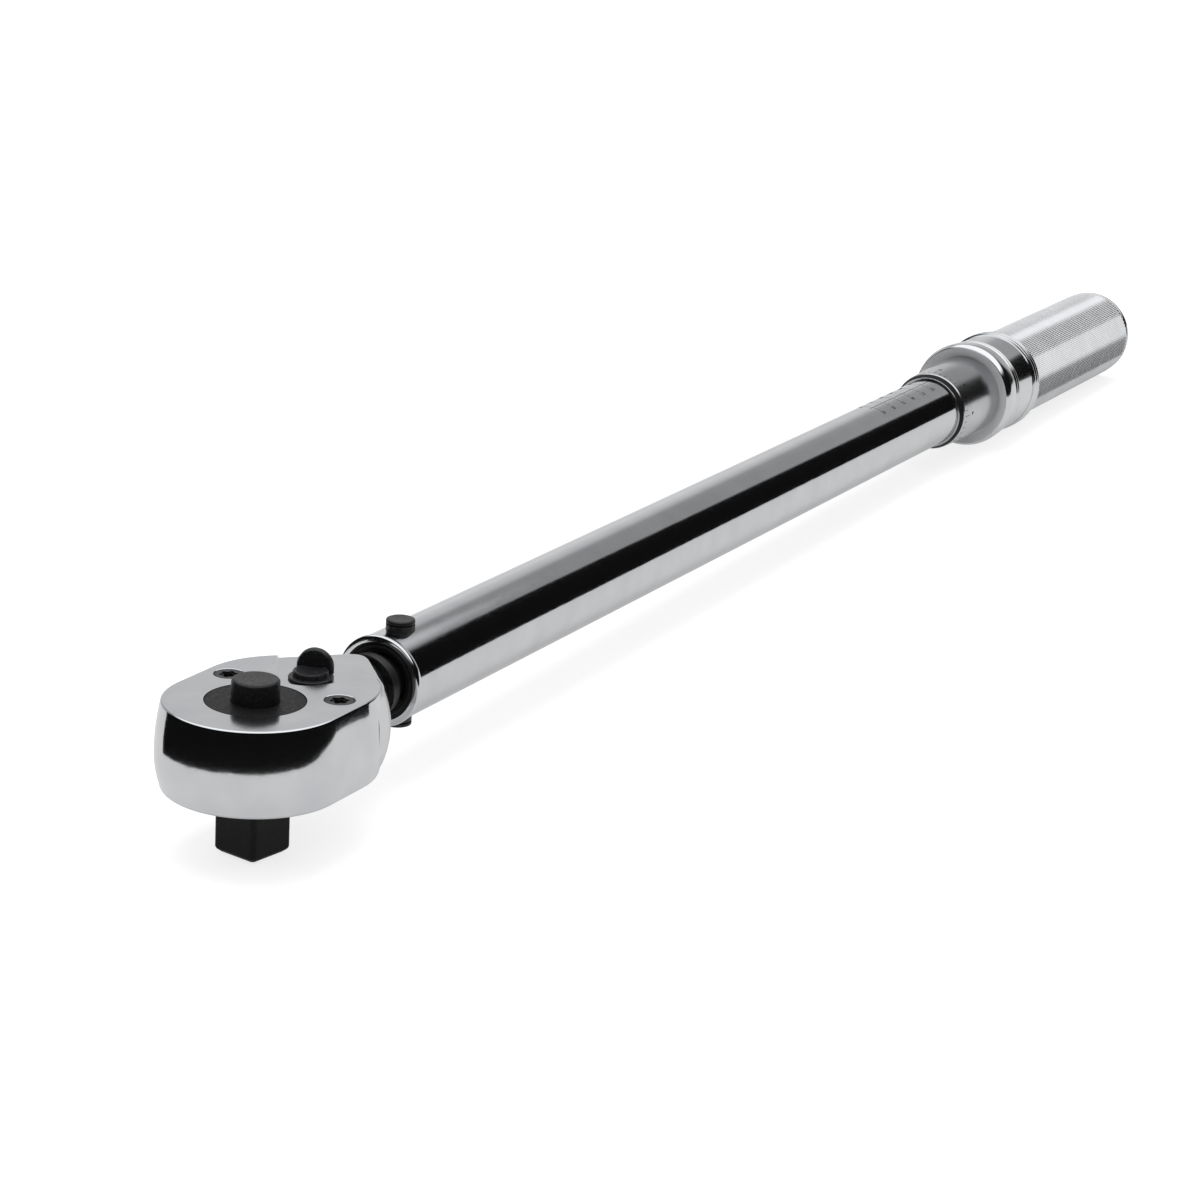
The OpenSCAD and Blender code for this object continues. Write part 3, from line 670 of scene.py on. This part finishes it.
lever = combine(
    "reversing_lever_black",
    lathe([(SHAFT_LOW_Z, 0), (SHAFT_LOW_Z, SHAFT_R), (LEDGE_Z + 0.08, SHAFT_R), (LEDGE_Z + 0.08, 5.1),
           (LEDGE_Z + 0.2, 5.25), (LEDGE_Z + 0.5, 5.25), (LEDGE_Z + 0.68, 5.05), (LEDGE_Z + 0.72, 4.3),
           (LEDGE_Z + 1.1, 4.15), (LEDGE_Z + 1.8, 4.2), (LEDGE_Z + 2.1, 4.0), (LEDGE_Z + 2.15, 3.7),
           (LEDGE_Z + 1.95, 3.2), (LEDGE_Z + 1.75, 2.0), (LEDGE_Z + 1.7, 0)], lever_at, 96),
    [fin()],
    [cylinder(PLUNGER_BORE, -4.2, 2.2, lever_at @ Matrix.Translation((0, 0, PLUNGER_Z))
              @ Matrix.Rotation(math.radians(90), 4, "Y"), 32),
     lathe([(CLIP_Z, 2.6), (CLIP_Z, 4.2), (CLIP_TOP_Z, 4.2), (CLIP_TOP_Z, 2.6)], lever_at, 64)])
finish_piece(lever, black_steel, "lever", ["reversing_lever"], 34)


# ---- tube ----

MOUTH_R, MOUTH_ROUND = 11.0, 0.5
tube = combine("tube_chrome", lathe(
    [(MOUTH_X, TUBE_BORE + MOUTH_ROUND), (MOUTH_X, MOUTH_R)]
    + [(MOUTH_X + MOUTH_ROUND - MOUTH_ROUND * math.cos(math.radians(a)),
        MOUTH_R + MOUTH_ROUND * math.sin(math.radians(a))) for a in (22, 45, 68, 90)]
    + [(MOUTH_X + 1.3, 11.48), (MOUTH_X + 1.7, 11.3), (MOUTH_X + 2.0, TUBE_R),
       (TUBE_END_X, TUBE_R), (TUBE_END_X, TUBE_BORE), (MOUTH_X + 0.5, TUBE_BORE)], ON_TUBE, 192),
    [], [cylinder(PIN_R + 0.02, -10, 40, at(PIN_X, 0, 0), 64)])
finish_piece(tube, chrome_tube, "tube", ["tube"], 34)

SEAL_X = MOUTH_X + 0.3
seal = to_object("neck_seal_rubber", lathe(
    [(SEAL_X + x, r) for x, r in (
        (2.9, 7.1), (0.9, 7.1), (0.75, 7.3), (0.75, 7.75), (0.55, 7.9), (0.35, 8.1), (0.35, 8.35),
        (0.1, 8.45), (0, 8.55), (0, 8.85), (0.15, 9.0), (0.5, 9.1), (0.55, 9.35), (0.7, 9.4),
        (2.9, 9.4))], ON_TUBE, 128))
finish_piece(seal, black_rubber, "tube", ["neck_seal"], 40)

PIN_REACH = 13.55        # from the tube's axis to each end of the pin
half_pin = [(0, PIN_R)] + [(PIN_REACH - x, PIN_R - cut) for x, cut in (
    (1.3, 0), (1.25, 0.35), (0.95, 0.4), (0.85, 0), (0.35, 0), (0.12, 0.12), (0, 0.4), (0.08, 1.2),
    )] + [(PIN_REACH - 0.1, 0)]
pin_profile = [(-h, r) for h, r in reversed(half_pin)] + half_pin[1:]
pin = to_object("pivot_pin_black", lathe(pin_profile, at(PIN_X, 0, AXIS_Z), 64))
finish_piece(pin, black_steel, "tube", ["pivot_pin"], 40)


# ---- scales ----

def wrapped(parts, radius_at):
    """Thin flat marks laid on a turned surface.

    Each part is a list of (x, arc, lift) points with its faces, arc in mm from the top towards -Y.
    """
    bm = bmesh.new()
    for verts, faces in parts:
        made = []
        for x, arc, lift in verts:
            r0 = radius_at(x)
            a = arc / r0
            r = r0 + lift
            made.append(bm.verts.new((x, -r * math.sin(a), AXIS_Z + r * math.cos(a))))
        for f in faces:
            bm.faces.new([made[i] for i in f])
    bmesh.ops.recalc_face_normals(bm, faces=bm.faces)
    return bm


LIFT, SINK = 0.02, -0.08


def bar(x, x_end, arc, arc_end):
    """A thin rectangular mark, cut across so that it follows the curve."""
    steps = max(1, int(abs(arc_end - arc) / 0.8))
    verts = []
    for k in range(steps + 1):
        s = arc + (arc_end - arc) * k / steps
        verts += [(x, s, SINK), (x_end, s, SINK), (x_end, s, LIFT), (x, s, LIFT)]
    faces = [(0, 1, 2, 3), tuple(4 * steps + i for i in (3, 2, 1, 0))]
    for k in range(steps):
        for i in range(4):
            j = (i + 1) % 4
            faces.append((4 * k + i, 4 * k + 4 + i, 4 * k + 4 + j, 4 * k + j))
    return verts, faces


def number(value, x, arc, size, across=False):
    """A number in the built-in typeface, as a thin solid."""
    cu = bpy.data.curves.new("digits", "FONT")
    cu.body, cu.size, cu.resolution_u = str(value), size, 2
    cu.align_x = cu.align_y = "CENTER"
    cu.extrude = (LIFT - SINK) / 2
    obj = bpy.data.objects.new("digits", cu)
    bpy.context.scene.collection.objects.link(obj)
    bpy.context.view_layer.update()
    me = obj.evaluated_get(bpy.context.evaluated_depsgraph_get()).to_mesh()
    middle = (LIFT + SINK) / 2
    verts = []
    for v in me.vertices:
        du, dv, dw = v.co
        if across:
            verts.append((x + dv, arc - du, middle + dw))
        else:
            verts.append((x + du, arc - dv, middle + dw))
    faces = [tuple(p.vertices) for p in me.polygons]
    obj.evaluated_get(bpy.context.evaluated_depsgraph_get()).to_mesh_clear()
    bpy.data.objects.remove(obj)
    bpy.data.curves.remove(cu)
    return verts, faces


THIMBLE_R, THIMBLE_END_R, THIMBLE_TAPER = 12.8, 13.5, 2.6


def thimble_r(x):
    return (THIMBLE_R + (THIMBLE_END_R - THIMBLE_R) * (x - THIMBLE_X - THIMBLE_TAPER)
            / (THIMBLE_END_X - THIMBLE_X - THIMBLE_TAPER))


SCALE_X, SCALE_STEP, SCALE_LINES = 348, 2.0, 24
marks = [bar(346, 395.5, 0.45, 0.6)]
for i in range(SCALE_LINES):
    x = SCALE_X + SCALE_STEP * i
    long = i % 4 == 0
    marks.append(bar(x - 0.09, x + 0.09, 0.5, 3.4 if long else 2.0))
    marks.append(bar(x - 0.09, x + 0.09, 0.5, -2.4 if long else -1.0))
    if long:
        marks.append(number(40 + 30 * (i // 4), x, -3.6, 2.1))
        marks.append(number(30 + 20 * (i // 4), x, 4.7, 2.1))
tube_scale = to_object("tube_scale_marks", wrapped(marks, lambda x: TUBE_R))
finish_piece(tube_scale, etched_black, "tube")

marks = []
THIMBLE_LINES, THIMBLE_SCALE_R = 40, 12.85
for i in range(THIMBLE_LINES):
    s = 2 * math.pi * THIMBLE_SCALE_R * i / THIMBLE_LINES
    marks.append(bar(THIMBLE_X + 3.2, THIMBLE_X + (6.6 if i % 5 == 0 else 5.0), s - 0.08, s + 0.08))
    if i % 5 == 0:
        marks.append(number(2 * (i // 5), THIMBLE_X + 9.0, s, 2.6, True))
thimble_scale = to_object("thimble_scale_marks", wrapped(marks, thimble_r))
finish_piece(thimble_scale, etched_black, "handle")


# ---- handle ----

HANDLE_BORE = TUBE_R + 0.08
THIMBLE_SEAT_R, THIMBLE_SEAT = 12.1, 8
thimble_front = to_object("thimble_turned", lathe(
    [(THIMBLE_X, HANDLE_BORE), (THIMBLE_X, 11.7), (THIMBLE_X + 2.3, 12.66), (THIMBLE_X + 2.5, 12.76),
     (THIMBLE_X + 2.7, THIMBLE_R), (THIMBLE_END_X - 0.2, THIMBLE_END_R), (THIMBLE_END_X, 13.3),
     (THIMBLE_END_X, THIMBLE_SEAT_R), (THIMBLE_END_X - THIMBLE_SEAT, THIMBLE_SEAT_R),
     (THIMBLE_END_X - THIMBLE_SEAT, HANDLE_BORE)], ON_TUBE, 192))
finish_piece(thimble_front, thimble_steel, "handle", ["thimble"], 20)

# a thin black sheet laid on the thimble's front chamfer: painted dark reflection
chamfer_painted_reflection = to_object("thimble_chamfer_painted_reflection", lathe(
    [(THIMBLE_X + 0.20, 11.70), (THIMBLE_X + 0.18, 11.81), (THIMBLE_X + 2.03, 12.58),
     (THIMBLE_X + 2.10, 12.50)], ON_TUBE, 192))
finish_piece(chamfer_painted_reflection, black_drive, "handle")

ring_outside = [
    (428.65, 13.75), (428.4, 14.2), (427.25, 16.2), (427.05, 16.45), (427.0, 16.6), (427.1, 16.8),
    (427.4, 16.95), (427.7, 17.05), (428.3, 17.35), (429.2, 17.58), (430.2, 17.6), (432.0, 17.52),
    (434.5, 17.35), (434.9, 17.2), (435.2, 16.78), (435.7, 16.78), (435.95, 17.1), (436.2, 17.2),
    (436.7, 17.2), (436.95, 17.1), (437.15, 16.78), (437.5, 16.78), (437.75, 17.02), (438.0, 17.1),
    (438.6, 17.05), (438.9, 16.9), (439.2, 16.55), (439.6, 16.45), (452.3, 16.6), (452.6, 16.7),
    (452.8, 17.1), (453.1, 17.22), (453.7, 17.22), (453.95, 17.1), (454.15, 16.7), (454.45, 16.7),
    (454.65, 17.1), (454.95, 17.22), (455.5, 17.22), (455.75, 17.1), (455.95, 16.75), (456.2, 16.75),
    (456.4, 17.05), (456.7, 17.15), (457.2, 17.1), (457.5, 16.95), (457.6, 16.7)]
ring_inside = [(457.6, 15.7), (446.5, 15.7), (446.5, 14.6), (437.6, 15.55), (437.6, 13.3), (428.65, 13.3)]
ring = to_object("lock_ring_turned", lathe(ring_outside + ring_inside, ON_TUBE, 256))
finish_piece(ring, chrome_ring, "lock_ring", ["lock_ring"], 34)


def knurled_grip():
    """The grip as one turned solid whose outside is cut into diamonds."""
    around, pitch, depth = 76, 1.28, 0.36
    x0, x1 = GRIP_X + 1.6, GRIP_END_X - 2.2
    rows = int(round((x1 - x0) / (pitch / 2)))
    rows -= rows % 2
    n = around * 2
    verts, faces = [], []

    def ring(x, r):
        start = len(verts)
        for i in range(n):
            a = 2 * math.pi * i / n
            rr = r(i) if callable(r) else r
            verts.append((rr * math.cos(a), rr * math.sin(a), x))
        return start

    order = []
    plug_x, plug_end_x, plug_r, cap_r, sleeve_r = 523.0, 536.0, 12.0, 14.4, 13.2
    seat_x = THIMBLE_END_X - THIMBLE_SEAT
    for x, r in ((seat_x, HANDLE_BORE), (seat_x, THIMBLE_SEAT_R), (THIMBLE_END_X, THIMBLE_SEAT_R),
                 (THIMBLE_END_X, sleeve_r), (GRIP_X, sleeve_r), (GRIP_X, GRIP_R - 0.75),
                 (GRIP_X + 0.15, GRIP_R - 0.5), (GRIP_X + 0.5, GRIP_R - 0.28),
                 (GRIP_X + 1.3, GRIP_R - 0.22)):
        order.append(ring(x, r))
    first = len(order)
    for j in range(rows + 1):
        edge = 1.0 if 1 < j < rows - 1 else 0.0
        order.append(ring(x0 + (x1 - x0) * j / rows,
                          lambda i, j=j, edge=edge: GRIP_R - depth * (1 - edge * ((i + j) % 2))))
    last = len(order) - 1
    for x, r in ((GRIP_END_X - 2.0, GRIP_R - 0.22), (GRIP_END_X - 1.0, GRIP_R - 0.24),
                 (GRIP_END_X - 0.4, GRIP_R - 0.4), (GRIP_END_X - 0.1, GRIP_R - 0.7),
                 (GRIP_END_X, GRIP_R - 0.95), (GRIP_END_X, cap_r), (plug_end_x, cap_r),
                 (plug_end_x, plug_r), (plug_x, plug_r), (plug_x, HANDLE_BORE)):
        order.append(ring(x, r))
    for k in range(len(order)):
        a, b = order[k], order[(k + 1) % len(order)]
        for i in range(n):
            i2 = (i + 1) % n
            p, q, s, t = a + i, b + i, b + i2, a + i2
            if first <= k < last:
                if (i + (k - first)) % 2 == 0:
                    faces += [(p, q, s), (p, s, t)]
                else:
                    faces += [(p, q, t), (q, s, t)]
            else:
                faces.append((p, q, s, t))
    return shape(verts, faces, ON_TUBE)


grip = to_object("grip_knurled", knurled_grip())
finish_piece(grip, knurled_steel, "handle", ["grip"], 12)

CAP_X, CAP_R = 537.0, 14.3
cap = to_object("end_cap_black", lathe(
    [(CAP_X, 0), (CAP_X, CAP_R), (GRIP_END_X - 0.6, CAP_R), (GRIP_END_X - 0.1, 14.0),
     (GRIP_END_X + 0.25, 13.4), (GRIP_END_X + 0.45, 12.6), (GRIP_END_X + 0.45, 9.5),
     (GRIP_END_X + 0.1, 9.2), (GRIP_END_X + 0.1, 0)], ON_TUBE, 128))
finish_piece(cap, black_plastic, "handle", ["end_cap"], 40)


# ---- studio ----

HEADING, PITCH, ROLL = math.radians(27.33), math.radians(17.40), math.radians(3.23)
CAMERA_AT = Vector((-0.56130, -0.37632, 0.25979))
LENS = 94.37
floor_z = -SQUARE_LEN * MM
REST_REACH = 0.437       # metres from the drive axis to where the lock ring touches the floor
tilt = math.atan2((AXIS_Z - LOCK_R) * MM - floor_z, REST_REACH)   # at rest on square and lock ring


def flat_sheet(name, corners):
    bm = bmesh.new()
    bm.faces.new([bm.verts.new(c) for c in corners])
    me = bpy.data.meshes.new(name)
    bm.to_mesh(me)
    bm.free()
    obj = bpy.data.objects.new(name, me)
    bpy.context.scene.collection.objects.link(obj)
    return obj


def on_floor(x, y, drop=0.0):
    return (x, y, floor_z - 0.0003 - drop + x * math.tan(tilt))


def floor_material(name, colour, glow):
    n = Nodes(name)
    n.into(n.mix(n.ramp(n.noise(0.004, 2.0), 0, 1), colour, [c * 0.985 for c in colour]), "Base Color")
    n.set("Roughness", 0.9)
    n.set("Specular IOR Level", 0.0)
    n.set("Emission Color", (1, 1, 1, 1))
    n.set("Emission Strength", glow)
    return n.mat


floor = flat_sheet("studio_floor", [on_floor(x, y) for x, y in ((-6, -6), (6, -6), (6, 6), (-6, 6))])
floor.data.materials.append(floor_material("floor_paper", (0.32, 0.32, 0.32), 0.78))
floor.visible_glossy = False

# the part of the floor that the metal mirrors stops close to the head on the camera's side: round the
# drive, its near edge keeps its distance and then draws in. Each corner is (azimuth, mm).
NEAR_R, DRAW_IN, DRAW_FROM = 135, 0.4, 189   # mm, mm for each degree, and the azimuth where it starts
near_edge = [(a, NEAR_R - DRAW_IN * max(0, DRAW_FROM - a)) for a in range(267, 97, -13)]
MIRRORED = [(-25, 4000), (-30, 800), (-36, 230), (-60, 180), *near_edge, (83, 4000), (60, 5000), (30, 5000)]
mirror = flat_sheet("studio_floor_mirrored", [
    on_floor(r * MM * math.cos(math.radians(a)), r * MM * math.sin(math.radians(a)), -0.0002)
    for a, r in MIRRORED])
mirror.data.materials.append(floor_material("floor_paper_mirrored", (0.25, 0.25, 0.25), 0.42))
mirror.visible_camera = mirror.visible_diffuse = mirror.visible_shadow = False
mirror.visible_transmission = False

world = bpy.data.worlds.new("studio")
bpy.context.scene.world = world
world.use_nodes = True
wt = world.node_tree
wt.nodes.clear()


def wnode(kind, **values):
    node = wt.nodes.new(kind)
    for key, value in values.items():
        setattr(node, key, value)
    return node


def wmath(op, a, b):
    node = wnode("ShaderNodeMath", operation=op)
    for i, v in enumerate((a, b)):
        if isinstance(v, (int, float)):
            node.inputs[i].default_value = v
        else:
            wt.links.new(v, node.inputs[i])
    return node.outputs[0]


def wstep(value, start, end, low, high):
    node = wnode("ShaderNodeMapRange", interpolation_type="SMOOTHSTEP")
    wt.links.new(value, node.inputs["Value"])
    for key, v in (("From Min", start), ("From Max", end), ("To Min", low), ("To Max", high)):
        node.inputs[key].default_value = v
    return node.outputs["Result"]


direction = wnode("ShaderNodeTexCoord").outputs["Generated"]
split = wnode("ShaderNodeSeparateXYZ")
wt.links.new(direction, split.inputs[0])
dx, dy, dz = split.outputs
# brightness by direction: a wide overhead softbox, a bright backdrop behind the object,
# and a dark room round the camera
overhead = wstep(dz, 0.50, 0.66, 0.0, 1.35)
EDGE = math.radians(-13)
side = wmath("ADD", wmath("MULTIPLY", dx, -math.sin(EDGE)), wmath("MULTIPLY", dy, math.cos(EDGE)))
backdrop = wstep(side, -0.02, 0.02, 0.0, 1.0)
fall = wstep(dz, 0.0, 0.56, 0.62, 0.32)
BRIGHT_AZ, BRIGHT_EL = math.radians(34), math.radians(19)
BRIGHT = Vector((math.cos(BRIGHT_AZ), math.sin(BRIGHT_AZ), math.tan(BRIGHT_EL))).normalized()
towards = wmath("ADD", wmath("ADD", wmath("MULTIPLY", dx, BRIGHT.x), wmath("MULTIPLY", dy, BRIGHT.y)),
                wmath("MULTIPLY", dz, BRIGHT.z))
FAR_EDGE = math.radians(-5)
far_side = wmath("ADD", wmath("MULTIPLY", dx, math.cos(FAR_EDGE)), wmath("MULTIPLY", dy, math.sin(FAR_EDGE)))
backdrop = wmath("MULTIPLY", backdrop, wstep(far_side, -0.03, 0.03, 0.0, 1.0))
behind = wmath("MULTIPLY", backdrop, wmath("ADD", fall, wstep(towards, 0.94, 0.99, 0.0, 0.22)))
glow = wmath("MAXIMUM", overhead, wmath("ADD", behind, 0.006))
camera_ray = wnode("ShaderNodeLightPath").outputs["Is Camera Ray"]
light = wnode("ShaderNodeBackground")
wt.links.new(glow, light.inputs["Strength"])
light.inputs["Color"].default_value = (0.985, 0.99, 1.0, 1)
pale = wnode("ShaderNodeBackground")
pale.inputs["Color"].default_value = (1, 1, 1, 1)
pale.inputs["Strength"].default_value = 0.98
mixed = wnode("ShaderNodeMixShader")
wt.links.new(camera_ray, mixed.inputs[0])
wt.links.new(light.outputs[0], mixed.inputs[1])
wt.links.new(pale.outputs[0], mixed.inputs[2])
wt.links.new(mixed.outputs[0], wnode("ShaderNodeOutputWorld").inputs[0])


def area_light(name, place, target, size, power):
    """A soft light that lights surfaces and isn't mirrored in them."""
    data = bpy.data.lights.new(name, "AREA")
    data.shape, data.size, data.size_y, data.energy = "RECTANGLE", size[0], size[1], power
    obj = bpy.data.objects.new(name, data)
    bpy.context.scene.collection.objects.link(obj)
    obj.location = place
    obj.rotation_mode = "QUATERNION"
    obj.rotation_quaternion = (Vector(target) - Vector(place)).to_track_quat("-Z", "Y")
    obj.visible_glossy = False
    obj.visible_camera = False


area_light("soft_top", (0.25, 0.1, 1.6), (0.25, 0, 0), (1.6, 1.0), 18.0)

# ---- camera ----

camera = bpy.data.objects.new("camera", bpy.data.cameras.new("camera"))
bpy.context.scene.collection.objects.link(camera)
sh, ch, sp, cp = math.sin(HEADING), math.cos(HEADING), math.sin(PITCH), math.cos(PITCH)
forward = Vector((cp * ch, cp * sh, -sp))
level = Vector((sh, -ch, 0))
lift = Vector((sp * ch, sp * sh, cp))
right = math.cos(ROLL) * level + math.sin(ROLL) * lift
up = right.cross(forward)
camera.matrix_world = Matrix((
    (right.x, up.x, -forward.x, CAMERA_AT.x), (right.y, up.y, -forward.y, CAMERA_AT.y),
    (right.z, up.z, -forward.z, CAMERA_AT.z), (0, 0, 0, 1)))
camera.data.sensor_width = 36.0
camera.data.lens = LENS
camera.data.clip_start, camera.data.clip_end = 0.01, 50.0
bpy.context.scene.camera = camera
bpy.context.scene.view_settings.view_transform = "Standard"
